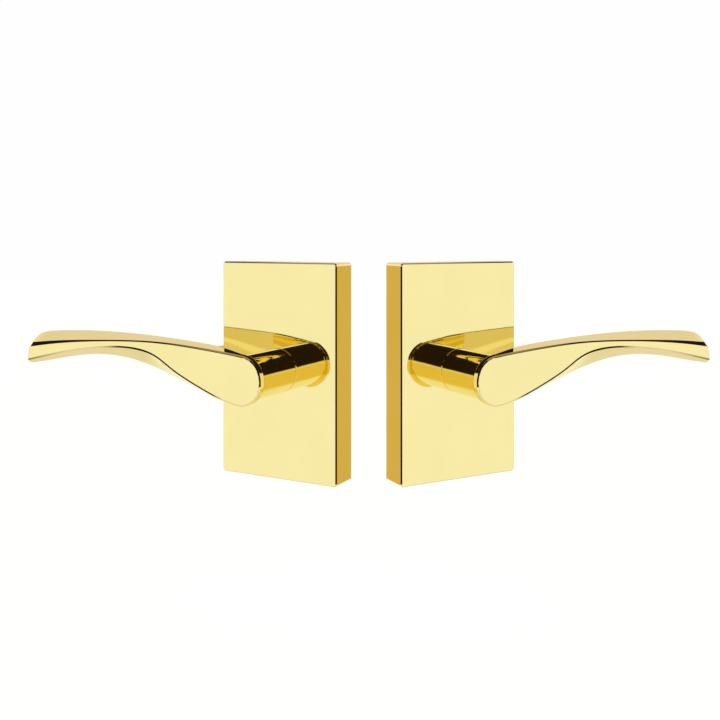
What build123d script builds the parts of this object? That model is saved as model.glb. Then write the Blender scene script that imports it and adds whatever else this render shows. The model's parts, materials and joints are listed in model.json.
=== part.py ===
from build123d import *
import math
import os

# Lever handle lockset: two mirror-image trims and a tubular latch.
#
# Row frame: +X right, +Y away from the front, +Z up, with z = 0 on the spindle axes.
# The two trims stand side by side as mirror images about the plane x = 0, each turned
# SPREAD_DEG about +Z, and the tubular latch sits on the outside trim's spindle. With no door
# to hold it, its case hangs CASE_DROOP_DEG below level about the spindle.
#
# Trim frame (outside trim): y = 0 is the door face, -Y points out of the door, +Y into it,
# and the lever points along -X. The spindle axis is the line x = 0, z = 0.

# rose and its mounting plate
ROSE_W = 63.5
ROSE_H = 101.6
ROSE_DEPTH = 14.0
ROSE_FRONT_WALL = 2.5
ROSE_SIDE_WALL = 2.0
ROSE_CORNER_R = 1.4
ROSE_BEVEL = 0.6
ROSE_HOLE_R = 9.25
PLATE_GAP = 0.25
PLATE_T = 3.0
PLATE_HALF_W = ROSE_W / 2 - ROSE_SIDE_WALL - PLATE_GAP
PLATE_HALF_H = ROSE_H / 2 - ROSE_SIDE_WALL - PLATE_GAP
GRUB_R = 1.25
GRUB_HEX_R = 0.75

# neck, shank and the parts that turn with them
NECK_R = 10.4
NECK_GAP = 0.2
NECK_BASE_BEVEL = 0.35
SHANK_R = 8.0
SHANK_END_Y = 4.0
SHANK_FLAT = 7.0
HUB_R = 10.0
HUB_FRONT_Y = -10.2
RUN_CLEARANCE = 0.05
RING_GROOVE_R = 7.2
RING_Y = 1.1
RING_T = 1.0
LEVER_TRAVEL_DEG = 60.0

# lever blade
HEEL_R = 11.5
HEEL_DROP = 0.5
HEEL_BACK_Y = -41.5
HEEL_FRONT_Y = -44.5

# torsion return spring and its housing
HOUSING_R_IN = 12.6
HOUSING_R_OUT = 13.8
RETURN_WIRE_R = 0.6
RETURN_SPRING_R = 11.3
RETURN_PITCH = 1.4
RETURN_TURNS = 2.75
STOP_Y = (-4.8, -3.2)
STOP_LUG_DEG = 20.0
STOP_CLEARANCE_DEG = 1.0

# door and fasteners
DOOR_T = 35.0
BACKSET = 60.3
FIXING_PITCH = 38.0
POST_R = 4.0
POST_END_Y = 27.0
FIXING_SCREW_R = 2.5
FIXING_SHANK_R = 2.1
FIXING_THREAD_Y = 0.3
FIXING_THREAD_R = 2.1
FIXING_SCREW_END_Y = 38.0
SCREW_HEAD_R = 4.3
SCREW_HEAD_H = 2.8
RECESS = (3.6, 0.9, 1.6)

# spindle
SPINDLE = 8.0
SOCKET = 8.2
SPINDLE_END_Y = 46.0
SOCKET_BOTTOM_Y = -32.0
SET_SCREW_Y = -26.0
SET_SCREW_R = 2.5

# tubular latch
LATCH_Y = DOOR_T / 2
BOLT_THROW = 10.0
CASE_DROOP_DEG = 8.0
BOLT_R = 9.3
BOLT_HALF_W = 6.2
CASE_R_OUT = 11.1
CASE_R_IN = 9.5
CASE_BACK_X = -22.0
COLLAR_R = 12.7
COLLAR_L = 6.3
BOLT_BACK_X = -40.0
TAIL_HALF_T = 1.5
TAIL_HALF_H = 4.0
RIVET_SPOTS = ((11.0, 8.0), (11.0, -8.0), (-17.0, 8.0))
ARM_R = BOLT_THROW
ARM_NOSE_R = 1.7

# how the two trims stand in the row
SPREAD_DEG = 27.6
TRIM_X = -36.3
TRIM_Y = -4.824

# Blade stations from the spindle axis to the tip. Each gives x and then five corners as
# (y, z): back top, front top, front bottom, underside, back bottom.
BLADE = [
    (0, (-40.5, 10.8), (-44.5, 10.2), (-44.5, -11.4), (-43.0, -11.9), (-40.5, -11.5)),
    (-20, (-39.5, 14.8), (-46.5, 12.9), (-46.5, -4.8), (-43.6, -7.2), (-39.0, -3.6)),
    (-40, (-38.8, 16.0), (-48.0, 14.4), (-48.0, 6.0), (-43.2, -0.4), (-38.0, 5.0)),
    (-64, (-38.2, 16.8), (-49.0, 14.3), (-49.0, 11.2), (-43.0, 5.2), (-37.4, 9.6)),
    (-94, (-37.7, 16.6), (-49.5, 12.4), (-49.5, 8.0), (-44.0, 4.8), (-37.2, 10.6)),
    (-125.2, (-38.0, 14.4), (-49.0, 8.6), (-49.0, 1.2), (-46.0, -1.2), (-37.4, 7.2)),
]
# The tip is cut at a slant: it reaches further out at the back and at the bottom.
TIP_SLANT_Y = 0.54
TIP_SLANT_Z = 0.2
TIP_PIVOT = (-49.0, 8.0)


def rod(r, y0, y1, x=0.0, z=0.0):
    """Round bar along Y."""
    return Pos(x, (y0 + y1) / 2, z) * Rot(90, 0, 0) * Cylinder(r, y1 - y0)


def rod_x(r, x0, x1, y=0.0, z=0.0):
    """Round bar along X."""
    return Pos((x0 + x1) / 2, y, z) * Rot(0, 90, 0) * Cylinder(r, x1 - x0)


def rod_z(r, z0, z1, x=0.0, y=0.0):
    """Round bar along Z."""
    return Pos(x, y, (z0 + z1) / 2) * Cylinder(r, z1 - z0)


def block(x, y, z):
    """Box between two corners, each axis given as (low, high)."""
    size = (x[1] - x[0], y[1] - y[0], z[1] - z[0])
    centre = ((x[0] + x[1]) / 2, (y[0] + y[1]) / 2, (z[0] + z[1]) / 2)
    return Pos(*centre) * Box(*size)


def sector(r0, r1, y0, y1, start_deg, end_deg):
    """Part of a ring about the spindle axis; angles run anticlockwise seen from the front."""
    reach = 3 * r1
    steps = [start_deg + (end_deg - start_deg) * i / 4 for i in range(5)]
    rim = [(reach * math.cos(math.radians(a)), reach * math.sin(math.radians(a))) for a in steps]
    profile = Plane.XZ * make_face(Polyline((0, 0), *rim, close=True))
    wedge = Pos(0, y1, 0) * extrude(profile, y1 - y0)
    return (rod(r1, y0, y1) - rod(r0, y0 - 1, y1 + 1)) & wedge


def rose():
    """Rectangular rose: a shell open at the door side, with a round hole for the neck's shank."""
    shell = block((-ROSE_W / 2, ROSE_W / 2), (-ROSE_DEPTH, 0), (-ROSE_H / 2, ROSE_H / 2))
    shell = fillet(shell.edges().filter_by(Axis.Y), ROSE_CORNER_R)
    shell = chamfer(shell.faces().sort_by(Axis.Y)[0].edges(), ROSE_BEVEL)
    inner_w = ROSE_W / 2 - ROSE_SIDE_WALL
    inner_h = ROSE_H / 2 - ROSE_SIDE_WALL
    shell -= block((-inner_w, inner_w), (ROSE_FRONT_WALL - ROSE_DEPTH, 1), (-inner_h, inner_h))
    shell -= rod(ROSE_HOLE_R, -ROSE_DEPTH - 1, 0)
    shell -= rod_z(GRUB_R + 0.1, -ROSE_H / 2 - 1, -ROSE_H / 2 + ROSE_SIDE_WALL + 1, y=-PLATE_T / 2)
    return shell


def rose_grub_screw():
    """Small hex-socket screw in the rose's bottom edge that holds it on the mounting plate."""
    screw = rod_z(GRUB_R, -ROSE_H / 2 + 0.3, -PLATE_HALF_H - 0.05, y=-PLATE_T / 2)
    hexagon = Pos(0, -PLATE_T / 2, -ROSE_H / 2) * extrude(RegularPolygon(GRUB_HEX_R, 6), 1.2)
    return screw - hexagon


def rose_bush():
    """Flanged nylon bush between the rose and the turning shank."""
    bush = rod(ROSE_HOLE_R - 0.05, -ROSE_DEPTH, -10.5)
    bush += rod(9.8, ROSE_FRONT_WALL - ROSE_DEPTH, -10.5)
    return bush - rod(SHANK_R + RUN_CLEARANCE, -ROSE_DEPTH - 1, -9)


def mounting_plate(fixing_hole_r):
    """Steel plate behind the rose, with the hub's bearing hole and two fixing holes."""
    plate = block((-PLATE_HALF_W, PLATE_HALF_W), (-PLATE_T, 0), (-PLATE_HALF_H, PLATE_HALF_H))
    plate = fillet(plate.edges().filter_by(Axis.Y), 2.0)
    plate -= rod(HUB_R + RUN_CLEARANCE, -PLATE_T - 1, 1)
    for side in (-1, 1):
        plate -= rod(fixing_hole_r, -PLATE_T - 1, 1, z=side * FIXING_PITCH / 2)
    return plate


def spring_housing():
    """Pressed cup on the mounting plate, with the two stops that limit the drive hub."""
    front = ROSE_FRONT_WALL - ROSE_DEPTH + 0.2
    cup = rod(HOUSING_R_OUT, front, -PLATE_T)
    cup -= rod(HOUSING_R_IN, front + 1.0, 0)
    cup -= rod(HUB_R + 0.1, front - 1, 0)
    low_edge = 90 - STOP_LUG_DEG / 2 - STOP_CLEARANCE_DEG
    high_edge = 90 + LEVER_TRAVEL_DEG + STOP_LUG_DEG / 2 + STOP_CLEARANCE_DEG
    for start, end in ((low_edge - 22, low_edge), (high_edge, high_edge + 22)):
        cup += sector(HUB_R + 0.3, HOUSING_R_IN + 0.5, STOP_Y[0], -PLATE_T, start, end)
    return cup


def drive_hub():
    """Hub keyed to the shank's flats, with the stop lug that the spring's leg pushes."""
    hub = rod(HUB_R, HUB_FRONT_Y, 0)
    hub += sector(SHANK_R + 1, HOUSING_R_IN - 0.2, *STOP_Y, 90 - STOP_LUG_DEG / 2, 90 + STOP_LUG_DEG / 2)
    bore = rod(SHANK_R + 0.05, HUB_FRONT_Y - 1, 1)
    half = SHANK_FLAT + 0.05
    return hub - (bore & block((-20, 20), (-20, 20), (-half, half)))


def return_spring():
    """Torsion spring round the hub that brings the lever back to level."""
    height = RETURN_PITCH * RETURN_TURNS
    path = Helix(RETURN_PITCH, height, RETURN_SPRING_R)
    section = Plane(origin=path @ 0, z_dir=path % 0) * Circle(RETURN_WIRE_R)
    coil = sweep(section, path=path, is_frenet=True)
    return Pos(0, -9.6, 0) * Rot(-90, 0, 0) * coil


def wave_washer():
    """Thin washer between the mounting plate and the retaining ring."""
    return rod(12.6, 0.1, 0.6) - rod(SHANK_R + 0.15, 0, 1)


def retaining_ring():
    """Open ring in the shank's groove that keeps the lever in the plate."""
    ring = rod(10.4, RING_Y, RING_Y + RING_T) - rod(RING_GROOVE_R + 0.05, 0, 5)
    return ring - block((-2.5, 2.5), (0, 5), (-12, 0))


def threaded_posts():
    """Two tapped posts, riveted to the outside plate, that take the through screws."""
    posts = []
    for side in (-1, 1):
        z = side * FIXING_PITCH / 2
        post = rod(POST_R, -PLATE_T, POST_END_Y, z=z)
        post += rod(POST_R + 1.2, -PLATE_T - 1.2, -PLATE_T, z=z)
        post -= rod(FIXING_THREAD_R, POST_END_Y - 22, POST_END_Y + 1, z=z)
        posts.append(post.solid())
    return Compound(posts)


def through_screws():
    """Two pan-head screws that clamp the trims together through the door."""
    screws = []
    for side in (-1, 1):
        z = side * FIXING_PITCH / 2
        screw = rod(FIXING_SCREW_R, FIXING_THREAD_Y, FIXING_SCREW_END_Y, z=z)
        screw += rod(FIXING_SHANK_R, -PLATE_T, FIXING_THREAD_Y, z=z)
        head = rod(SCREW_HEAD_R, -PLATE_T - SCREW_HEAD_H, -PLATE_T, z=z)
        head = fillet(head.edges().sort_by(Axis.Y)[0], 1.2)
        screw += head
        length, width, depth = RECESS
        recess_y = (-PLATE_T - SCREW_HEAD_H - 1, -PLATE_T - SCREW_HEAD_H + depth)
        for half_x, half_z in ((length / 2, width / 2), (width / 2, length / 2)):
            screw -= block((-half_x, half_x), recess_y, (z - half_z, z + half_z))
        screws.append(screw.solid())
    return Compound(screws)


def blade():
    """Twisted blade: upright and tall at the heel, nearly flat at the tip."""
    wires = []
    for x, *corners in BLADE[:-1]:
        wires.append(Wire.make_polygon([Vector(x, y, z) for y, z in corners], close=True))
    tip_x, *corners = BLADE[-1]
    tip = []
    for y, z in corners:
        slant = TIP_SLANT_Z * (z - TIP_PIVOT[1]) - TIP_SLANT_Y * (y - TIP_PIVOT[0])
        tip.append(Vector(tip_x + slant, y, z))
    wires.append(Wire.make_polygon(tip, close=True))
    return Solid.make_loft(wires)


def lever():
    """Blade, round neck and shank in one casting, with a square socket for the spindle."""
    body = rod(NECK_R, HEEL_BACK_Y, -ROSE_DEPTH - NECK_GAP)
    body = chamfer(body.faces().sort_by(Axis.Y)[-1].edges(), NECK_BASE_BEVEL)
    body += rod(HEEL_R, HEEL_FRONT_Y, HEEL_BACK_Y, z=-HEEL_DROP)
    body += blade()
    shank = rod(SHANK_R, -ROSE_DEPTH - 1, SHANK_END_Y)
    for side in (-1, 1):
        edge = sorted((side * SHANK_FLAT, side * 12))
        shank -= block((-12, 12), (HUB_FRONT_Y, SHANK_END_Y + 1), edge)
    groove = rod(SHANK_R + 1, RING_Y - 0.05, RING_Y + RING_T + 0.05)
    shank -= groove - rod(RING_GROOVE_R, 0, 5)
    body += shank
    half = SOCKET / 2
    body -= block((-half, half), (SOCKET_BOTTOM_Y, SHANK_END_Y + 1), (-half, half))
    body -= rod_z(SET_SCREW_R + 0.1, -NECK_R - 2, -half + 0.5, y=SET_SCREW_Y)
    return body.solid()


def lever_set_screw():
    """Hex-socket screw under the neck that holds the lever on the spindle."""
    screw = rod_z(SET_SCREW_R, -NECK_R + 0.8, -SOCKET / 2 + 0.05, y=SET_SCREW_Y)
    hexagon = Pos(0, SET_SCREW_Y, -NECK_R) * extrude(RegularPolygon(1.5, 6), 3.0)
    return screw - hexagon


def square_spindle():
    """Square bar that the outside lever turns, through the latch hub to the inside lever."""
    half = SPINDLE / 2
    bar = block((-half, half), (SOCKET_BOTTOM_Y + 1, SPINDLE_END_Y), (-half, half))
    return chamfer(bar.faces().sort_by(Axis.Y)[-1].edges(), 0.8)


def latch_case():
    """Round tube that the bolt slides in, with a back wall for its spring."""
    tube = rod_x(CASE_R_OUT, -BACKSET + 1.6, CASE_BACK_X, y=LATCH_Y)
    tube -= rod_x(CASE_R_IN, -BACKSET, CASE_BACK_X - 1.5, y=LATCH_Y)
    slot_w, slot_h = TAIL_HALF_T + 0.2, TAIL_HALF_H + 0.2
    return tube - block((-30, 0), (LATCH_Y - slot_w, LATCH_Y + slot_w), (-slot_h, slot_h))


def bolt_section(x0, x1, extra=0.0):
    """Round bolt flattened on two sides."""
    half = BOLT_HALF_W + extra
    flats = block((x0 - 1, x1 + 1), (LATCH_Y - half, LATCH_Y + half), (-20, 20))
    return rod_x(BOLT_R + extra, x0, x1, y=LATCH_Y) & flats


def latch_collar():
    """Drive-in collar at the door's edge, with the bolt's window."""
    collar = rod_x(COLLAR_R, -BACKSET, -BACKSET + COLLAR_L, y=LATCH_Y)
    collar = fillet(collar.edges().sort_by(Axis.X)[0], 0.8)
    collar -= rod_x(CASE_R_OUT + 0.02, -BACKSET + 1.6, 0, y=LATCH_Y)
    return collar - bolt_section(-BACKSET - 1, -BACKSET + 3, extra=0.15)


def latch_bolt():
    """Spring bolt with its bevel, slotted at the back for the tail."""
    tip = -BACKSET - BOLT_THROW
    bolt = bolt_section(tip, BOLT_BACK_X)
    low_y = LATCH_Y - BOLT_HALF_W
    bevel_points = ((tip - 1, low_y + 11), (tip - 1, low_y - 1), (tip + 11, low_y - 1))
    bevel = Plane.XY * make_face(Polyline(*bevel_points, close=True))
    bolt -= Pos(0, 0, -20) * extrude(bevel, 40)
    slot_w, slot_h = TAIL_HALF_T + 0.05, TAIL_HALF_H + 0.05
    bolt -= block((BOLT_BACK_X - 6.1, BOLT_BACK_X + 1), (LATCH_Y - slot_w, LATCH_Y + slot_w),
                  (-slot_h, slot_h))
    return bolt - rod(1.05, LATCH_Y - 10, LATCH_Y + 10, x=BOLT_BACK_X - 3)


def latch_tail():
    """Stamped link from the bolt, under the hub, with the window that the hub's arm works in.

    The window is longer on the bolt's side, so the arm has play there when the case hangs.
    """
    rest_x = -ARM_R / 2
    tail = block((BOLT_BACK_X - 6, -18.5), (LATCH_Y - TAIL_HALF_T, LATCH_Y + TAIL_HALF_T),
                 (-TAIL_HALF_H, TAIL_HALF_H))
    tail += block((-21.5, -18.5), (LATCH_Y - TAIL_HALF_T, LATCH_Y + TAIL_HALF_T), (-12.1, TAIL_HALF_H))
    tail += block((-21.5, rest_x + 3.4), (LATCH_Y - 3.4, LATCH_Y + 3.4), (-12.1, -8.1))
    push_face = rest_x + ARM_NOSE_R + 0.25
    slack_face = rest_x - ARM_NOSE_R - 1.55
    tail -= block((slack_face, push_face), (LATCH_Y - 1.8, LATCH_Y + 1.8), (-13, 0))
    return tail - rod(1.05, LATCH_Y - 10, LATCH_Y + 10, x=BOLT_BACK_X - 3)


def latch_tail_pin():
    """Pin that joins the tail to the bolt."""
    return rod(1.0, LATCH_Y - BOLT_HALF_W, LATCH_Y + BOLT_HALF_W, x=BOLT_BACK_X - 3)


def latch_hub():
    """Square-holed hub on two journals, with the arm that draws the bolt back."""
    hub = rod(7.6, LATCH_Y - 4.8, LATCH_Y + 4.8) + rod(7.2, LATCH_Y - 6.5, LATCH_Y + 6.5)
    arm = block((-1.2, 1.2), (LATCH_Y - 1.5, LATCH_Y + 1.5), (-ARM_R, -6.5))
    arm += rod(ARM_NOSE_R, LATCH_Y - 1.5, LATCH_Y + 1.5, z=-ARM_R)
    hub += Rot(0, LEVER_TRAVEL_DEG / 2, 0) * arm
    half = SOCKET / 2
    return hub - block((-half, half), (0, 2 * LATCH_Y), (-half, half))


def latch_side_plates():
    """Two plates behind the case that carry the hub's journals."""
    plates = []
    for side in (-1, 1):
        near, far = sorted((LATCH_Y + side * 5.0, LATCH_Y + side * 6.5))
        plate = block((CASE_BACK_X, 13.5), (near, far), (-10.5, 10.5))
        plate = fillet(plate.edges().filter_by(Axis.Y), 2.0)
        plate -= rod(7.25, near - 1, far + 1)
        for x, z in RIVET_SPOTS:
            plate -= rod(1.25, near - 1, far + 1, x=x, z=z)
        plates.append(plate.solid())
    return Compound(plates)


def latch_side_rivets():
    """Three shouldered rivets that hold the side plates apart."""
    rivets = []
    for x, z in RIVET_SPOTS:
        rivet = rod(1.2, LATCH_Y - 7.1, LATCH_Y + 7.1, x=x, z=z)
        rivet += rod(2.0, LATCH_Y - 4.95, LATCH_Y + 4.95, x=x, z=z)
        for side in (-1, 1):
            near, far = sorted((LATCH_Y + side * 6.55, LATCH_Y + side * 7.3))
            rivet += rod(2.0, near, far, x=x, z=z)
        rivets.append(rivet.solid())
    return Compound(rivets)


def latch_spring():
    """Compression spring round the tail, from the bolt to the case's back wall."""
    wire_r = 0.6
    length = (CASE_BACK_X - 1.5) - BOLT_BACK_X - 2 * wire_r - 0.4
    path = Helix(length / 5, length, 6.2)
    coil = sweep(Plane(origin=path @ 0, z_dir=path % 0) * Circle(wire_r), path=path, is_frenet=True)
    return Pos(BOLT_BACK_X + wire_r + 0.2, LATCH_Y, 0) * Rot(0, 90, 0) * coil


def to_row(shape):
    """Trim frame to row frame."""
    return Pos(TRIM_X, TRIM_Y, 0) * Rot(0, 0, -SPREAD_DEG) * shape


def trim_parts():
    """The pieces that both trims have, in the trim frame."""
    return {
        "rose": rose(),
        "rose_bush": rose_bush(),
        "rose_grub_screw": rose_grub_screw(),
        "spring_housing": spring_housing(),
        "drive_hub": drive_hub(),
        "return_spring": return_spring(),
        "wave_washer": wave_washer(),
        "retaining_ring": retaining_ring(),
        "lever": lever(),
        "lever_set_screw": lever_set_screw(),
    }


def build():
    parts = {}
    for name, shape in trim_parts().items():
        parts["outside_" + name] = to_row(shape)
        parts["inside_" + name] = mirror(to_row(shape), about=Plane.YZ)
    parts["outside_mounting_plate"] = to_row(mounting_plate(POST_R + 0.05))
    parts["outside_threaded_posts"] = to_row(threaded_posts())
    parts["inside_mounting_plate"] = mirror(to_row(mounting_plate(2.75)), about=Plane.YZ)
    parts["inside_through_screws"] = mirror(to_row(through_screws()), about=Plane.YZ)
    parts["square_spindle"] = to_row(square_spindle())
    parts["latch_hub"] = to_row(latch_hub())
    for make in (latch_case, latch_collar, latch_side_plates, latch_side_rivets,
                 latch_bolt, latch_tail, latch_tail_pin, latch_spring):
        parts[make.__name__] = to_row(Rot(0, -CASE_DROOP_DEG, 0) * make())
    return parts


os.makedirs("parts", exist_ok=True)
for name, shape in build().items():
    export_step(shape, os.path.join("parts", name + ".step"))
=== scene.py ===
# %% [markdown]
# # A lever handle lockset in polished brass
# Two mirror-image trims stand side by side, each with a rectangular rose, a round neck and a
# twisted lever, and a tubular latch sits on the outside trim's spindle. The CAD frame brings
# every working part at its real size and place. This lesson adds the studio, the finishes, the
# levers as they are really shaped, and the threads, waves and knurls of the hidden hardware.

# %% Load the frame
import bmesh
import bpy
import json
import math
from mathutils import Matrix, Vector


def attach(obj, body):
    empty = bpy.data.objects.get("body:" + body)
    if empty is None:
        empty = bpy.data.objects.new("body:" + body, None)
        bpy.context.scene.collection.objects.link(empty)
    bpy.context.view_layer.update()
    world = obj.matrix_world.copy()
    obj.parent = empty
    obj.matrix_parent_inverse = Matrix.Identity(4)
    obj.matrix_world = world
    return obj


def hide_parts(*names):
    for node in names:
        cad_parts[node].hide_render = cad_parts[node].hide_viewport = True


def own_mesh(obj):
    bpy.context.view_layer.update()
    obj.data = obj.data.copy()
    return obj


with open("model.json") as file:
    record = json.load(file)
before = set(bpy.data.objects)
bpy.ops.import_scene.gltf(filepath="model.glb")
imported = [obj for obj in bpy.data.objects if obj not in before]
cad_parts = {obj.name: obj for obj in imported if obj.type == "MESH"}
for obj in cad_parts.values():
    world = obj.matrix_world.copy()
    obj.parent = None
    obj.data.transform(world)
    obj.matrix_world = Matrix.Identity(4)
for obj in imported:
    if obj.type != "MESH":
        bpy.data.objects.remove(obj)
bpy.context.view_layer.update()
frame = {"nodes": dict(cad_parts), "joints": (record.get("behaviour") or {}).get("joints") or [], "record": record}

MM = 0.001
scene = bpy.context.scene
joints = {joint["name"]: joint for joint in frame["joints"]}

# %% [markdown]
# ## The trim's own frame
# It is easier to shape a lever in the frame of its own trim: x runs along the rose, y into the
# door and z up, with the spindle axis on x = 0, z = 0. The lever joint gives that frame's place
# and its turn. The inside trim is the same thing seen in a mirror that stands on x = 0.

# %% Matrices from trim to row
turn = joints["outside_lever_turn"]
inward = -Vector(turn["axis"])
along = Vector((inward.y, -inward.x, 0.0))
TRIM = Matrix.Translation(Vector(turn["pos_m"])) @ Matrix(
    ((along.x, inward.x, 0, 0), (along.y, inward.y, 0, 0), (0, 0, 1, 0), (0, 0, 0, 1)))
MIRROR = Matrix.Scale(-1, 4, Vector((1, 0, 0)))
SIDES = {"outside": TRIM, "inside": MIRROR @ TRIM}
print("trim stands at", TRIM.translation, "turned", math.degrees(math.atan2(inward.x, inward.y)))

# %% [markdown]
# ## The camera
# A product picture keeps upright edges upright. That is done with a level camera whose frame is
# shifted down, as with a view camera, and not by tilting it.

# %% Camera
CAMERA_BACK = 424.1 * MM
CAMERA_HEIGHT = 63.6 * MM
LENS = 43.9
SENSOR = 36.0
SHIFT_ACROSS, SHIFT_DOWN = -0.0122, -0.1736
NEAREST = 0.01
camera = bpy.data.objects.new("camera", bpy.data.cameras.new("camera"))
camera.location = (0, TRIM.translation.y - CAMERA_BACK, CAMERA_HEIGHT)
camera.rotation_euler = (math.pi / 2, 0, 0)
camera.data.lens = LENS
camera.data.sensor_width = SENSOR
camera.data.shift_x = SHIFT_ACROSS
camera.data.shift_y = SHIFT_DOWN
camera.data.clip_start = NEAREST
scene.collection.objects.link(camera)
scene.camera = camera
print("camera at", tuple(camera.location))

# %% [markdown]
# ## Small helpers for node trees
# Every sky and finish below is a chain of the same few steps: add a node and fill its inputs,
# do a sum, step softly from 0 to 1, and mix two colours. Four helpers keep the chains readable.

# %% Node helpers
def wire(tree, kind, settings=None, **inputs):
    """Adds a node and fills its inputs, each with a number, a colour or another node's socket."""
    node = tree.nodes.new(kind)
    for key, value in (settings or {}).items():
        setattr(node, key, value)
    for key, value in inputs.items():
        socket = node.inputs[int(key[1:])] if key[1:].isdigit() else node.inputs[key.replace("_", " ")]
        if isinstance(value, bpy.types.NodeSocket):
            tree.links.new(value, socket)
        else:
            socket.default_value = value
    return node


def maths(tree, operation, a, b=0.0):
    """One Math node's result."""
    return wire(tree, "ShaderNodeMath", {"operation": operation}, _0=a, _1=b).outputs[0]


def soft_step(tree, value, low, high):
    """0 below low, 1 above high and smooth between."""
    node = wire(tree, "ShaderNodeMapRange", {"interpolation_type": "SMOOTHSTEP"},
                Value=value, From_Min=low, From_Max=high)
    return node.outputs["Result"]


def tint(tree, amount, a, b):
    """Mixes two colours, given as sockets or as four numbers, by an amount."""
    return wire(tree, "ShaderNodeMix", {"data_type": "RGBA"}, _0=amount, _6=a, _7=b).outputs[2]


# %% [markdown]
# ## The studio sky
# Polished brass has hardly any colour of its own: it tints what it mirrors. So the studio paints
# it. The sky is pale all round, with a few cards hung in it, each a soft-edged patch of bearing
# and height. Bearing is 0 straight behind the lockset and 180 at the camera, the same to left and
# right, because the two trims are mirror images. Near-black flags draw the dark bands on the
# necks and the thin dark lines along the edges, and a tan card behind gives the roses' sides
# their darker gold. The camera itself sees only the plain pale backdrop.

# %% Cards
PALE = (1.0, 0.99, 1.0, 1)
FLAG = (0.018, 0.011, 0.006, 1)
CARDS = (
    # name, bearing from and to, height from and to in degrees, feather, colour
    ("back wall", -10, 42, -20, 100, 4, (0.82, 0.73, 0.61, 1)),
    ("tan card", 43, 76, -30, 3, 2, (0.70, 0.49, 0.15, 1)),
    ("floor card", -10, 200, -100, -38, 4, (0.85, 0.78, 0.76, 1)),
    ("ceiling", -10, 200, 52, 100, 5, (0.34, 0.27, 0.20, 1)),
    ("upper flag", 52, 121, 24, 56, 3, FLAG),
    ("lower flag", 78, 106, -44, -27, 2, FLAG),
    ("amber card", 161, 200, -34, 2, 5, (0.86, 0.68, 0.22, 1)),
    ("camera flag", 113, 200, 17, 62, 2, FLAG),
    ("flag's foot", 152, 200, 4, 20, 2, FLAG),
    ("lens flag", 144, 160, -23, 6, 1, FLAG),
)
print("cards in the sky:", [card[0] for card in CARDS])

# %% Sky
world = bpy.data.worlds.new("studio")
scene.world = world
world.use_nodes = True
sky = world.node_tree
sky.nodes.clear()
direction = wire(sky, "ShaderNodeTexCoord").outputs["Generated"]
aim_x, aim_y, aim_z = wire(sky, "ShaderNodeSeparateXYZ", Vector=direction).outputs
sideways = maths(sky, "ABSOLUTE", aim_x)
bearing = maths(sky, "DEGREES", maths(sky, "ARCTAN2", sideways, aim_y))
height = maths(sky, "DEGREES", maths(sky, "ARCSINE", aim_z))


def window(value, low, high, feather):
    """1 between two values and 0 outside, with soft edges."""
    rise = soft_step(sky, value, low - feather, low + feather)
    fall = soft_step(sky, value, high - feather, high + feather)
    return maths(sky, "SUBTRACT", rise, fall)


light = PALE
for name, left, right, low, high, feather, card_colour in CARDS:
    across = window(bearing, left, right, feather)
    upwards = window(height, low, high, feather)
    patch = maths(sky, "MULTIPLY", across, upwards)
    patch.node.label = name
    light = tint(sky, patch, light, card_colour)
seen_directly = wire(sky, "ShaderNodeLightPath").outputs["Is Camera Ray"]
light = tint(sky, seen_directly, light, PALE)
backdrop = wire(sky, "ShaderNodeBackground", Color=light, Strength=1.0)
wire(sky, "ShaderNodeOutputWorld", Surface=backdrop.outputs[0])
scene.view_settings.view_transform = "Standard"
print("nodes in the sky:", len(sky.nodes))

# %% [markdown]
# ## Floor and lamps
# The floor is plain and as pale as the backdrop, with a little glow so that no horizon shows. It
# is kept out of the mirrors, where the sky's cards do the work, and it lies low enough for the
# levers to swing down.

# %% Floor
FLOOR_Z = -0.16
FLOOR_HALF = 4.0
FLOOR_PAINT = {"Base Color": (0.9, 0.9, 0.9, 1), "Roughness": 0.9,
               "Emission Color": (1, 1, 1, 1), "Emission Strength": 0.75}
plane = bmesh.new()
bmesh.ops.create_grid(plane, x_segments=1, y_segments=1, size=FLOOR_HALF,
                      matrix=Matrix.Translation((0, 0, FLOOR_Z)))
floor_mesh = bpy.data.meshes.new("floor")
plane.to_mesh(floor_mesh)
plane.free()
floor = bpy.data.objects.new("floor", floor_mesh)
scene.collection.objects.link(floor)
floor.visible_glossy = False
floor_paint = bpy.data.materials.new("floor paint")
floor_paint.use_nodes = True
floor_shader = floor_paint.node_tree.nodes["Principled BSDF"]
for socket_name, value in FLOOR_PAINT.items():
    floor_shader.inputs[socket_name].default_value = value
floor_mesh.materials.append(floor_paint)

# %% [markdown]
# ### Lamps
# Round bar draws a lamp out into a streak along itself. A short highlight therefore needs a lamp
# that is long across the bar and only a few millimetres wide along it. A pair of such strips
# hangs high on each side of the camera, placed in a trim's own frame and aimed at its neck, and
# puts two warm spots on it.

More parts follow.
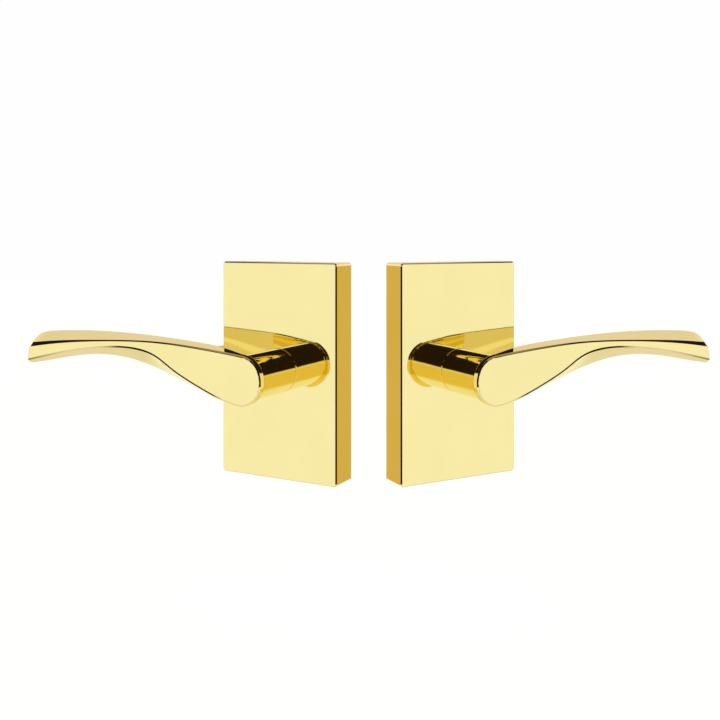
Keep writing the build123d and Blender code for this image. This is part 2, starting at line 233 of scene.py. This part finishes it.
# %% Lamps
LAMP_LONG = 0.140
LAMP_RADIANCE = 0.95
LAMP_COLOUR = (1.0, 0.82, 0.25)
LAMP_SPOTS = (((17.2, -349.6, 258.5), 0.0085), ((-33.5, -351.2, 246.2), 0.0055))
NECK_SPOT = (6.0, -14.0, 20.0)
for side, matrix in SIDES.items():
    for spot, lamp_wide in LAMP_SPOTS:
        lamp_data = bpy.data.lights.new("neck highlight", "AREA")
        lamp_data.shape = "RECTANGLE"
        lamp_data.size, lamp_data.size_y = LAMP_LONG, lamp_wide
        lamp_data.energy = LAMP_RADIANCE * math.pi * LAMP_LONG * lamp_wide
        lamp_data.color = LAMP_COLOUR
        lamp = bpy.data.objects.new("neck highlight", lamp_data)
        lamp.location = matrix @ (Vector(spot) * MM)
        away = (lamp.location - matrix @ (Vector(NECK_SPOT) * MM)).normalized()
        upright = away.cross(matrix.to_3x3() @ Vector((1, 0, 0))).normalized()
        lamp.rotation_euler = Matrix((upright.cross(away), upright, away)).transposed().to_euler()
        lamp.visible_camera = False
        scene.collection.objects.link(lamp)
print("lamps:", len(SIDES) * len(LAMP_SPOTS))

# %% [markdown]
# ## Finishes
# No metal is perfectly even. Each finish is a Principled shader whose colour, roughness and
# fine relief follow noise in Object coordinates, in metres. Because every object sits at the
# origin, the grain stays fixed to the piece. One helper starts a finish and one makes grain,
# stretched along an axis where a tool has run. Three more put it to use as colour, as roughness
# and as relief.

# %% Helpers for finishes
FINISHES = {}
NOISE_LOW, NOISE_HIGH = 0.3, 0.7


def start_finish(slot, metallic):
    """A new material with its tree, its shader and its Object coordinates."""
    material = bpy.data.materials.new(slot)
    material.use_nodes = True
    tree = material.node_tree
    shader = tree.nodes["Principled BSDF"]
    shader.inputs["Metallic"].default_value = metallic
    FINISHES[slot] = material
    print("finish:", slot, "metallic", metallic)
    return tree, shader, wire(tree, "ShaderNodeTexCoord").outputs["Object"]


def grain(tree, place, per_metre, detail=3.0, stretch=(1, 1, 1), turned=0.0):
    """Noise from 0 to 1; stretch slows it along an axis, and turned swings that axis about z."""
    mapped = wire(tree, "ShaderNodeMapping", Vector=place, Rotation=(0, 0, turned), Scale=stretch)
    noise = wire(tree, "ShaderNodeTexNoise", Vector=mapped.outputs[0], Scale=per_metre, Detail=detail)
    return noise.outputs["Fac"]


def ranged(tree, value, low, high):
    """Spreads noise, which keeps near its middle, between two values."""
    node = wire(tree, "ShaderNodeMapRange", Value=value, From_Min=NOISE_LOW, From_Max=NOISE_HIGH,
                To_Min=low, To_Max=high)
    return node.outputs["Result"]


def coloured(tree, shader, amount, a, b):
    """Colours a finish between two colours by an amount."""
    tree.links.new(tint(tree, amount, (*a, 1), (*b, 1)), shader.inputs["Base Color"])


def roughened(tree, shader, value, low, high):
    """Lets a finish's roughness wander between two values."""
    tree.links.new(ranged(tree, value, low, high), shader.inputs["Roughness"])


def relief(tree, shader, value, depth, strength=1.0):
    """Raises the surface by a height in metres where the value is 1."""
    bump = wire(tree, "ShaderNodeBump", Height=value, Distance=depth, Strength=strength)
    tree.links.new(bump.outputs[0], shader.inputs["Normal"])


# %% [markdown]
# ### Polished brass
# Cast brass is buffed on soft wheels and lacquered. The buffing leaves faint clouds in the
# colour, a haze that comes and goes, and a surface that is very slightly wavy.

# %% Polished brass
tree, shader, place = start_finish("polished_brass", 1.0)
clouds = ranged(tree, grain(tree, place, 45.0), 0.0, 1.0)
coloured(tree, shader, clouds, (0.95, 0.845, 0.40), (0.93, 0.825, 0.375))
roughened(tree, shader, grain(tree, place, 700.0, detail=4.0), 0.018, 0.045)
relief(tree, shader, grain(tree, place, 160.0, detail=1.0), 0.000012)

# %% [markdown]
# ### Satin brass
# The latch's bolt and collar are drawn bar, turned and brushed, so the grain runs one way.

# %% Satin brass
LATCH_TURN = math.atan2(along.y, along.x)
tree, shader, place = start_finish("satin_brass", 1.0)
lines = grain(tree, place, 2500.0, stretch=(0.04, 1, 1), turned=-LATCH_TURN)
coloured(tree, shader, ranged(tree, lines, 0, 1), (0.70, 0.54, 0.24), (0.84, 0.68, 0.34))
roughened(tree, shader, lines, 0.22, 0.38)
relief(tree, shader, lines, 0.00002, 0.5)

# %% [markdown]
# ### Zinc-plated steel
# Bright zinc has a faint blue and straw-yellow bloom over rolled sheet, which has a fine grain
# along the roll.

# %% Zinc plate
tree, shader, place = start_finish("zinc_plated_steel", 1.0)
bloom = ranged(tree, grain(tree, place, 60.0, detail=4.0), 0, 1)
rolled = grain(tree, place, 1800.0, stretch=(0.08, 1, 1), turned=-LATCH_TURN)
coloured(tree, shader, bloom, (0.50, 0.52, 0.56), (0.58, 0.57, 0.52))
roughened(tree, shader, rolled, 0.24, 0.40)
relief(tree, shader, rolled, 0.00003, 0.5)

# %% [markdown]
# ### Spring steel
# Drawn wire and tempered strip are darker, with an oily blue-grey oxide.

# %% Spring steel
tree, shader, place = start_finish("spring_steel", 1.0)
oxide = ranged(tree, grain(tree, place, 220.0, detail=5.0), 0, 1)
coloured(tree, shader, oxide, (0.26, 0.28, 0.33), (0.46, 0.46, 0.45))
roughened(tree, shader, grain(tree, place, 1500.0), 0.24, 0.42)
relief(tree, shader, grain(tree, place, 3000.0), 0.00002, 0.5)

# %% [markdown]
# ### Die-cast zinc
# Hubs are cast, so they are dull and grainy, with fine pits that the mould leaves.

# %% Zinc casting
tree, shader, place = start_finish("zinc_casting", 1.0)
mottle = ranged(tree, grain(tree, place, 350.0, detail=6.0), 0, 1)
coloured(tree, shader, mottle, (0.34, 0.34, 0.36), (0.52, 0.52, 0.51))
roughened(tree, shader, mottle, 0.42, 0.60)
pits = wire(tree, "ShaderNodeTexVoronoi", Vector=place, Scale=1600.0).outputs["Distance"]
relief(tree, shader, pits, 0.00006, 0.6)

# %% [markdown]
# ### Black oxide
# Small socket screws are blackened. The film is thin, so it looks brown where it is rubbed.

# %% Black oxide
tree, shader, place = start_finish("black_oxide_steel", 1.0)
rubbed = soft_step(tree, grain(tree, place, 900.0, detail=4.0), 0.55, 0.72)
coloured(tree, shader, rubbed, (0.035, 0.035, 0.04), (0.16, 0.13, 0.10))
roughened(tree, shader, grain(tree, place, 1500.0), 0.32, 0.50)

# %% [markdown]
# ### Nylon
# The bushes are moulded in natural nylon: milky, slightly uneven, with the sheen of a mould.

# %% Nylon
tree, shader, place = start_finish("white_nylon", 0.0)
milk = ranged(tree, grain(tree, place, 250.0), 0, 1)
coloured(tree, shader, milk, (0.80, 0.78, 0.70), (0.87, 0.86, 0.80))
roughened(tree, shader, grain(tree, place, 1200.0), 0.38, 0.55)
shader.inputs["Subsurface Weight"].default_value = 0.15
shader.inputs["Subsurface Scale"].default_value = 0.002
relief(tree, shader, grain(tree, place, 2000.0), 0.00002, 0.4)

# %% [markdown]
# ### Finishes on the CAD parts
# The record names each part's slot, so one loop gives every part its finish. What lies behind
# the roses is kept out of the mirrors: on a door nothing of it would show in a rose's side.

# %% Finishes on the CAD parts
for part in frame["record"]["subparts"]:
    node = frame["nodes"][part["node"]]
    node.data.materials.clear()
    node.data.materials.append(FINISHES[part["material_slot"]])
    node.visible_glossy = part["material_slot"] == "polished_brass"
print("finishes:", ", ".join(FINISHES))

# %% [markdown]
# ## The lever blade
# The blade is upright and tall at the heel and twists until it is nearly flat at the tip. Six
# points make its section: back top, front top, front middle, front bottom, underside and back.
# A surface could be lofted through the sections, but a coarse cage under a Subdivision modifier
# is easier to steer, and its creases say which edges stay crisp.

# %% Blade stations
HEEL_FRONT, HEEL_BACK = -44.4, -41.5
STATIONS = [
    (0, (HEEL_BACK, 11.0), (HEEL_FRONT, 10.8), (-44.5, -0.5), (HEEL_FRONT, -11.8), (HEEL_BACK, -12.0),
     (HEEL_BACK, -0.5)),
    (-10, (-40.4, 13.2), (-45.5, 12.0), (-45.6, 1.6), (-45.4, -9.2), (-43.0, -11.1), (-40.0, 1.0)),
    (-20, (-39.5, 14.4), (-46.5, 13.1), (-46.6, 4.2), (-46.4, -4.9), (-43.6, -7.0), (-39.0, 2.8)),
    (-29, (-39.0, 14.9), (-47.2, 13.9), (-47.3, 6.4), (-47.2, -0.7), (-43.4, -4.1), (-38.6, 4.4)),
    (-36, (-38.7, 15.4), (-47.7, 14.4), (-47.8, 8.6), (-47.7, 3.0), (-43.2, -1.9), (-38.4, 6.0)),
    (-43, (-38.5, 15.8), (-48.2, 14.7), (-48.3, 11.2), (-48.2, 8.0), (-43.1, 0.3), (-38.1, 7.4)),
    (-52, (-38.3, 16.3), (-48.6, 14.8), (-48.7, 12.9), (-48.6, 10.9), (-43.0, 2.8), (-37.7, 9.0)),
    (-66, (-38.0, 16.8), (-49.1, 14.4), (-49.2, 12.9), (-49.1, 11.5), (-43.2, 5.7), (-37.4, 10.4)),
    (-82, (-37.8, 16.95), (-49.4, 13.5), (-49.5, 11.6), (-49.4, 9.8), (-43.8, 6.4), (-37.3, 11.4)),
    (-98, (-37.7, 16.7), (-49.5, 12.1), (-49.6, 10.0), (-49.5, 7.3), (-44.6, 4.5), (-37.3, 11.0)),
    (-112, (-37.8, 15.9), (-49.3, 10.4), (-49.4, 7.7), (-49.3, 4.3), (-45.4, 1.6), (-37.4, 9.6)),
    (-124.6, (-38.2, 14.9), (-49.0, 8.4), (-49.1, 5.1), (-49.0, 1.2), (-46.0, -1.1), (-37.8, 7.6)),
]
print("stations:", len(STATIONS), "length", -STATIONS[-1][0], "mm")


# %% [markdown]
# ### Body
# A loop of six edges is drawn at the spindle axis and extruded from station to station, and each
# new corner is put in its place. The tip was cut across at a slant, so its corners are moved
# along the blade by how high and how far forward they stand.

# %% Body
CREASES = (0.55, 1.0, 0.0, 1.0, 0.6, 0.0)
FRONT_TOP, FRONT_LOW = 1, 3
TIP_CREASES = (0.9, 0.9, 0.9, 0.9, 0.3, 0.0)
TIP_SLANT_Y = 0.54
TIP_SLANT_Z = 0.2
TIP_PIVOT = (-49.0, 8.0)


def draw_body(cage, crease):
    """Extrudes the section from station to station; returns the first corners and the rim's rails."""
    first = [cage.verts.new((STATIONS[0][0], *corner)) for corner in STATIONS[0][1:]]
    count = len(first)
    ring = [cage.edges.new((first[i], first[(i + 1) % count])) for i in range(count)]
    corners = first
    rim = []
    for x, *places in STATIONS[1:]:
        grown = bmesh.ops.extrude_edge_only(cage, edges=ring)["geom"]
        fresh = {item for item in grown if isinstance(item, bmesh.types.BMVert)}
        stepped = []
        for index, (vert, place) in enumerate(zip(corners, places)):
            rail = next(edge for edge in vert.link_edges if edge.other_vert(vert) in fresh)
            rail[crease] = CREASES[index]
            if index in (FRONT_TOP, FRONT_LOW):
                rim.append(rail)
            partner = rail.other_vert(vert)
            partner.co = (x, *place)
            stepped.append(partner)
        ring = [cage.edges.get((stepped[i], stepped[(i + 1) % count])) for i in range(count)]
        corners = stepped
    bmesh.ops.contextual_create(cage, geom=ring)
    for edge, sharpness in zip(ring, TIP_CREASES):
        edge[crease] = sharpness
    for vert in corners:
        vert.co.x += TIP_SLANT_Z * (vert.co.z - TIP_PIVOT[1]) - TIP_SLANT_Y * (vert.co.y - TIP_PIVOT[0])
    return first, rim


# %% [markdown]
# ### Heel
# Beyond the spindle the blade ends in a half circle about the neck. It is the lower edge of the
# first section, spun half a turn up to the top. The holes that it leaves in front and behind are
# then filled.

# %% Heel
HEEL_MIDDLE = (0, 0, -0.5)
HEEL_STEPS = 12
HEEL_MERGE = 0.3
HEEL_X = -0.01
HEEL_REACH = 0.2


def spin_heel(cage, first):
    """Spins the lower edge of the first section half a turn and closes the heel."""
    pair = [first[FRONT_LOW], first[FRONT_LOW + 1]]
    bmesh.ops.spin(cage, geom=pair + [cage.edges.get(pair)], cent=HEEL_MIDDLE, axis=(0, 1, 0),
                   dvec=(0, 0, 0), angle=-math.pi, steps=HEEL_STEPS, use_merge=False)
    bmesh.ops.remove_doubles(cage, verts=cage.verts[:], dist=HEEL_MERGE)
    open_edges = [edge for edge in cage.edges if edge.is_boundary]
    bmesh.ops.holes_fill(cage, edges=open_edges, sides=0)
    bmesh.ops.recalc_face_normals(cage, faces=cage.faces[:])


def on_heel(edge, face_y):
    """Whether an edge lies on the heel's front or back outline."""
    return all(vert.co.x >= HEEL_X and abs(vert.co.y - face_y) < HEEL_REACH for vert in edge.verts)


# %% [markdown]
# ### Rim
# The polisher breaks the edge of the front face, so it is bevelled. The two sides of the bevel
# are creased, so that Subdivision rounds the body and keeps the rim crisp. Towards the tip the
# upper rim has been rolled over further, into a narrow wedge.

# %% Rim
RIM_BEVEL = 0.55
RIM_ANGLE = 1.0
WEDGE_START = -84.0
WEDGE_WIDTH = 1.5
WEDGE_RISE = 1.3
SAME_STATION = 1.0


def widen_wedge(strip):
    """Widens the upper rim bevel towards the tip, where the polisher has rolled the edge over."""
    for vert in {vert for face in strip for vert in face.verts if vert.co.x < WEDGE_START}:
        mates = [edge.other_vert(vert) for edge in vert.link_edges
                 if abs(edge.other_vert(vert).co.x - vert.co.x) < SAME_STATION and
                 any(face in strip for face in edge.link_faces)]
        if any(mate.co.z < vert.co.z and mate.co.y < vert.co.y for mate in mates):
            share = (vert.co.x - WEDGE_START) / (STATIONS[-1][0] - WEDGE_START)
            vert.co.y += WEDGE_WIDTH * share
            vert.co.z += WEDGE_RISE * share


def break_rim(cage, crease, rim):
    """Bevels the front face's edge and creases both sides of the bevel."""
    rim = [edge for edge in rim if edge.is_valid]
    rim += [edge for edge in cage.edges if edge not in rim and edge.calc_face_angle(0) > RIM_ANGLE
            and on_heel(edge, HEEL_FRONT)]
    strip = set(bmesh.ops.bevel(cage, geom=rim, offset=RIM_BEVEL, offset_type="OFFSET", segments=1,
                                profile=0.5, affect="EDGES", material=-1, clamp_overlap=True)["faces"])
    for edge in cage.edges:
        if sum(face in strip for face in edge.link_faces) == 1 or on_heel(edge, HEEL_BACK):
            edge[crease] = 1.0
    widen_wedge(strip)
    return len(rim)


# %% Blade cage
def blade_mesh():
    """The blade's cage, in the trim frame and in millimetres."""
    cage = bmesh.new()
    crease = cage.edges.layers.float.new("crease_edge")
    first, rim = draw_body(cage, crease)
    spin_heel(cage, first)
    broken = break_rim(cage, crease, rim)
    print("rim edges bevelled:", broken, "open edges left:", sum(e.is_boundary for e in cage.edges))
    return cage


# %% [markdown]
# ## From a cage to a piece
# A trim-frame mesh is scaled to metres and carried to its side of the row. The inside trim's
# matrix holds a mirror, which turns every face inside out, so those faces are reversed. Every
# new piece rides on a body of the frame and names the slot that its finish comes from.

# %% Finishing helper
def finished(cage, name, side, slot, body, subdivisions=0, sharp_deg=None):
    """Puts a trim-frame mesh in place in the row as an object."""
    bmesh.ops.transform(cage, matrix=SIDES[side] @ Matrix.Scale(MM, 4), verts=cage.verts[:])
    if side == "inside":
        bmesh.ops.reverse_faces(cage, faces=cage.faces[:])
    mesh = bpy.data.meshes.new(name)
    cage.to_mesh(mesh)
    cage.free()
    mesh.polygons.foreach_set("use_smooth", [True] * len(mesh.polygons))
    if sharp_deg:
        mesh.set_sharp_from_angle(angle=math.radians(sharp_deg))
    mesh.materials.append(FINISHES[slot])
    piece = bpy.data.objects.new(name, mesh)
    scene.collection.objects.link(piece)
    if subdivisions:
        smooth = piece.modifiers.new("smooth", "SUBSURF")
        smooth.levels = subdivisions
        smooth.render_levels = subdivisions
    piece.visible_glossy = slot == "polished_brass"
    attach(piece, body)
    return piece


# %% [markdown]
# ## The neck
# The neck and its shank are already right in CAD: round bar, spindle socket, screw hole and
# ring groove. So the neck is a copy of the CAD lever, cut off by a plane just behind the blade,
# and its open end is drawn forward into the heel, where it can't be seen.

# %% Copy of a CAD piece up to a cut
CAD_MERGE = 1e-6


def cut_copy(node, side, cut_y, away, draw):
    """A CAD node up to a cut across the spindle axis, its open end drawn on and closed."""
    shape = bmesh.new()
    shape.from_mesh(frame["nodes"][node].data)
    bmesh.ops.remove_doubles(shape, verts=shape.verts[:], dist=CAD_MERGE)
    to_trim = Matrix.Scale(1 / MM, 4) @ SIDES[side].inverted()
    bmesh.ops.transform(shape, matrix=to_trim, verts=shape.verts[:])
    if side == "inside":
        bmesh.ops.reverse_faces(shape, faces=shape.faces[:])
    bmesh.ops.bisect_plane(shape, geom=shape.verts[:] + shape.edges[:] + shape.faces[:],
                           plane_co=(0, cut_y, 0), plane_no=(0, away, 0), clear_outer=True)
    rim = [edge for edge in shape.edges if edge.is_boundary]
    grown = bmesh.ops.extrude_edge_only(shape, edges=rim)["geom"]
    moved = [item for item in grown if isinstance(item, bmesh.types.BMVert)]
    bmesh.ops.translate(shape, verts=moved, vec=(0, away * draw, 0))
    bmesh.ops.holes_fill(shape, edges=[edge for edge in shape.edges if edge.is_boundary], sides=0)
    return shape


# %% [markdown]
# ### A true mirror on round bar
# A CAD mesh is made of flat strips, and a polished one mirrors in steps. More strips would help,
# but only the normals matter to a mirror, so the strips are left and each of their corners is
# given the normal of the exact cylinder.

# %% Exact normals
ROUND_TOLERANCE = 0.03


def true_round(piece, side, radius):
    """Gives the faces on a cylinder about the spindle axis the exact normals of that cylinder."""
    to_trim = Matrix.Scale(1 / MM, 4) @ SIDES[side].inverted()
    from_trim = SIDES[side].to_3x3()
    mesh = piece.data
    places = [to_trim @ vert.co for vert in mesh.vertices]
    normals = [corner.vector.copy() for corner in mesh.corner_normals]
    for face in mesh.polygons:
        rims = [places[index] for index in face.vertices]
        if all(abs(math.hypot(place.x, place.z) - radius) < ROUND_TOLERANCE for place in rims):
            for corner, place in zip(face.loop_indices, rims):
                normals[corner] = (from_trim @ Vector((place.x, 0, place.z))).normalized()
    mesh.normals_split_custom_set(normals)


# %% Levers
NECK_R = 10.4
CUT_Y = -36.5
INTO_HEEL = 6.0
for side in SIDES:
    body = side + "_lever"
    blade = finished(blade_mesh(), side + "_lever_blade", side, "polished_brass", body, subdivisions=4)
    bar = cut_copy(body, side, CUT_Y, -1, INTO_HEEL)
    neck = finished(bar, side + "_lever_neck", side, "polished_brass", body, sharp_deg=35)
    true_round(neck, side, NECK_R)
    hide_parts(body)
    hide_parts(body)
    print(body, "is now a blade and a neck")

# %% [markdown]
# ## Turned, threaded and coiled hardware
# Screws, washers, collars and springs are all made by turning something about an axis. One
# helper joins points into an outline, one turns an outline through a full circle, one lifts it
# as it turns, which makes a thread or a coil, and one closes the ends. The latch's parts are
# shaped level and then hung at the angle at which the case hangs in CAD.

# %% Helpers for turning
SPINDLE_WAY = Vector((0, 1, 0))
LATCH_WAY = Vector((1, 0, 0))
LATCH_MIDDLE = Vector((0, 17.5, 0))
DROOP = Matrix.Rotation(math.radians(-8.0), 4, "Y")
TURN_MERGE = 0.001
COIL_MERGE = 0.004


def outline(shape, points, closed):
    """Joins points into a row of edges."""
    verts = [shape.verts.new(point) for point in points]
    ends = verts[1:] + verts[:1] if closed else verts[1:]
    return verts + [shape.edges.new(pair) for pair in zip(verts, ends)]


def turned(points, centre, axis, steps):
    """Spins a closed outline through a full circle."""
    shape = bmesh.new()
    bmesh.ops.spin(shape, geom=outline(shape, points, True), cent=centre, axis=axis, dvec=(0, 0, 0),
                   angle=2 * math.pi, steps=steps, use_merge=True)
    bmesh.ops.remove_doubles(shape, verts=shape.verts[:], dist=TURN_MERGE)
    bmesh.ops.recalc_face_normals(shape, faces=shape.faces[:])
    return shape


def climbing(shape, geom, centre, axis, pitch, turns, per_turn):
    """Spins an outline while it climbs by one pitch a turn; returns its last place."""
    made = bmesh.ops.spin(shape, geom=geom, cent=centre, axis=axis, dvec=axis * (pitch / per_turn),
                          angle=2 * math.pi * turns, steps=turns * per_turn, use_merge=False)
    return made["geom_last"]


def sealed(shape):
    """Merges doubles, closes open ends and turns the faces outwards."""
    bmesh.ops.remove_doubles(shape, verts=shape.verts[:], dist=COIL_MERGE)
    bmesh.ops.holes_fill(shape, edges=[edge for edge in shape.edges if edge.is_boundary], sides=0)
    bmesh.ops.recalc_face_normals(shape, faces=shape.faces[:])
    return shape


# %% [markdown]
# ### Wave washers
# A wave washer is thin spring steel pressed into three waves, so that it takes up the play
# between the plate and the retaining ring. A flat ring is turned and its points are then lifted
# by a cosine of their angle about the spindle.

# %% Wave washers
WASHER_R = (8.2, 12.5)
WASHER_Y = (0.22, 0.48)
WAVES = 3
WAVE_LIFT = 0.1
WASHER_STEPS = 72
for side in SIDES:
    corners = [(WASHER_R[i], WASHER_Y[j], 0) for i, j in ((0, 0), (1, 0), (1, 1), (0, 1))]
    shape = turned(corners, (0, 0, 0), SPINDLE_WAY, WASHER_STEPS)
    for vert in shape.verts:
        vert.co.y += WAVE_LIFT * math.cos(WAVES * math.atan2(vert.co.z, vert.co.x))
    washer = finished(shape, side + "_waved_washer", side, "spring_steel", "root", sharp_deg=40)
    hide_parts(side + "_wave_washer")
print("wave washers are", round(WASHER_Y[1] - WASHER_Y[0], 2), "mm thick with", WAVES, "waves")

# %% [markdown]
# ### Screw threads
# The CAD screws have a plain bar for a thread. The heads are kept, cut off at the shank, and an
# M5 thread is swept: one ridge is spun round the screw and climbs one pitch a turn, so each turn
# meets the last. Two cuts make its ends flat. The posts get the matching thread in their holes.

# %% Screw heads
FIXINGS_Z = (-19.0, 19.0)
THREAD_Y = (0.2, 38.0)
HEAD_CUT_Y = THREAD_Y[0] + 0.1
INTO_THREAD = 0.3
heads = cut_copy("inside_through_screws", "inside", HEAD_CUT_Y, 1, INTO_THREAD)
screw_heads = finished(heads, "inside_screw_heads", "inside", "zinc_plated_steel", "root", sharp_deg=35)
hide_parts("inside_through_screws")
print("screw head faces:", len(screw_heads.data.polygons))

# %% One thread
PITCH = 0.8
PER_TURN = 16
SCREW_RIDGE = ((0, 2.08), (0.42, 2.5), (0.58, 2.5), (1, 2.08))


def ridge(z, start, profile):
    """A ridge's outline beside a fixing: shares of one pitch and radii as points."""
    return [(0, start + PITCH * share, z + radius) for share, radius in profile]


def one_thread(z):
    """A threaded bar about one fixing's axis, with flat ends."""
    thread = bmesh.new()
    start = THREAD_Y[0] - PITCH
    turns = math.ceil((THREAD_Y[1] - start) / PITCH) + 1
    geom = outline(thread, ridge(z, start, SCREW_RIDGE), False)
    climbing(thread, geom, (0, 0, z), SPINDLE_WAY, PITCH, turns, PER_TURN)
    bmesh.ops.remove_doubles(thread, verts=thread.verts[:], dist=COIL_MERGE)
    for y, way in zip(THREAD_Y, (-1, 1)):
        bmesh.ops.bisect_plane(thread, geom=thread.verts[:] + thread.edges[:] + thread.faces[:],
                               plane_co=(0, y, 0), plane_no=(0, way, 0), clear_outer=True)
    return sealed(thread)


# %% Screw threads
threads = bmesh.new()
for z in FIXINGS_Z:
    thread = one_thread(z)
    part = bpy.data.meshes.new("one thread")
    thread.to_mesh(part)
    thread.free()
    threads.from_mesh(part)
    bpy.data.meshes.remove(part)
screw_threads = finished(threads, "inside_screw_threads", "inside", "zinc_plated_steel", "root",
                         sharp_deg=30)
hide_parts("inside_through_screws")
print("screw thread faces:", len(screw_threads.data.polygons))

# %% Threads in the posts
POST_HOLE_Y = (5.4, 26.7)
POST_RIDGE = ((0.04, 2.2), (0.5, 1.8), (0.96, 2.2))
POST_TURNS = math.floor((POST_HOLE_Y[1] - POST_HOLE_Y[0]) / PITCH) - 1
tapped = bmesh.new()
for z in FIXINGS_Z:
    geom = outline(tapped, ridge(z, POST_HOLE_Y[0], POST_RIDGE), True)
    climbing(tapped, geom, (0, 0, z), SPINDLE_WAY, PITCH, POST_TURNS, PER_TURN)
finished(sealed(tapped), "outside_post_threads", "outside", "zinc_plated_steel", "root", sharp_deg=30)
print("turns of thread in each post:", POST_TURNS)

# %% [markdown]
# ### The latch's collar
# A drive-in latch is held in the door's edge by a knurled collar that bites the wood. Its outline
# is turned about the latch's axis, every second point of the knurled band is pressed in, and the
# points round the window are drawn to the bolt's two flats.

# %% Collar
FACE_X = -60.3
WINDOW_R, WINDOW_HALF = 9.45, 6.35
WINDOW_REACH = 0.1
COLLAR_R, SLEEVE_R = 12.7, 11.12
KNURLS = 80
KNURL_DEPTH = 0.28
KNURL_X = (1.7, 5.4)
KNURL_R = 12.0
COLLAR_OUTLINE = ((0, WINDOW_R), (0, 11.9), (0.12, 12.3), (0.4, 12.58), (0.8, COLLAR_R), (1.5, COLLAR_R),
                  (1.75, COLLAR_R), (5.3, COLLAR_R), (5.55, COLLAR_R), (6.1, COLLAR_R), (6.3, 12.5),
                  (6.3, SLEEVE_R), (1.6, SLEEVE_R), (1.6, WINDOW_R))
points = [LATCH_MIDDLE + Vector((FACE_X + x, 0, radius)) for x, radius in COLLAR_OUTLINE]
collar = turned(points, LATCH_MIDDLE, LATCH_WAY, 2 * KNURLS)
for vert in collar.verts:
    out = Vector((0, vert.co.y - LATCH_MIDDLE.y, vert.co.z))
    step = round(math.atan2(out.z, out.y) / math.pi * KNURLS)
    if KNURL_X[0] < vert.co.x - FACE_X < KNURL_X[1] and out.length > KNURL_R and step % 2:
        vert.co -= out.normalized() * KNURL_DEPTH
    if out.length < WINDOW_R + WINDOW_REACH:
        vert.co.y = LATCH_MIDDLE.y + max(-WINDOW_HALF, min(WINDOW_HALF, out.y))
bmesh.ops.transform(collar, matrix=DROOP, verts=collar.verts[:])
knurled = finished(collar, "latch_knurled_collar", "outside", "satin_brass", "root", sharp_deg=25)
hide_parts("latch_collar")
print("knurls:", KNURLS)

# %% [markdown]
# ### The latch's spring
# The spring lies between the bolt and the case's back wall, and it shortens when the bolt is
# drawn in. It is coiled from round wire with a closed turn at each end.

# %% Latch spring
WIRE_R = 0.6
COIL_R = 6.2
SPRING_X = (-39.9, -23.6)
END_PITCH = 2.1 * WIRE_R
OPEN_TURNS = 4
COIL_STEPS = 32
WIRE_STEPS = 10
open_pitch = (SPRING_X[1] - SPRING_X[0] - 2 * WIRE_R - 2 * END_PITCH) / OPEN_TURNS
coil = bmesh.new()
begin = LATCH_MIDDLE + Vector((SPRING_X[0] + WIRE_R, 0, COIL_R))
section = [begin + Vector((WIRE_R * math.cos(turn_by), 0, WIRE_R * math.sin(turn_by)))
           for turn_by in (math.tau * i / WIRE_STEPS for i in range(WIRE_STEPS))]
end = outline(coil, section, True)
for pitch, turns in ((END_PITCH, 1), (open_pitch, OPEN_TURNS), (END_PITCH, 1)):
    end = climbing(coil, end, LATCH_MIDDLE, LATCH_WAY, pitch, turns, COIL_STEPS)
sealed(coil)
bmesh.ops.transform(coil, matrix=DROOP, verts=coil.verts[:])
spring = finished(coil, "latch_coil_spring", "outside", "spring_steel", "root", sharp_deg=50)
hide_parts("latch_spring")
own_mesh(spring)
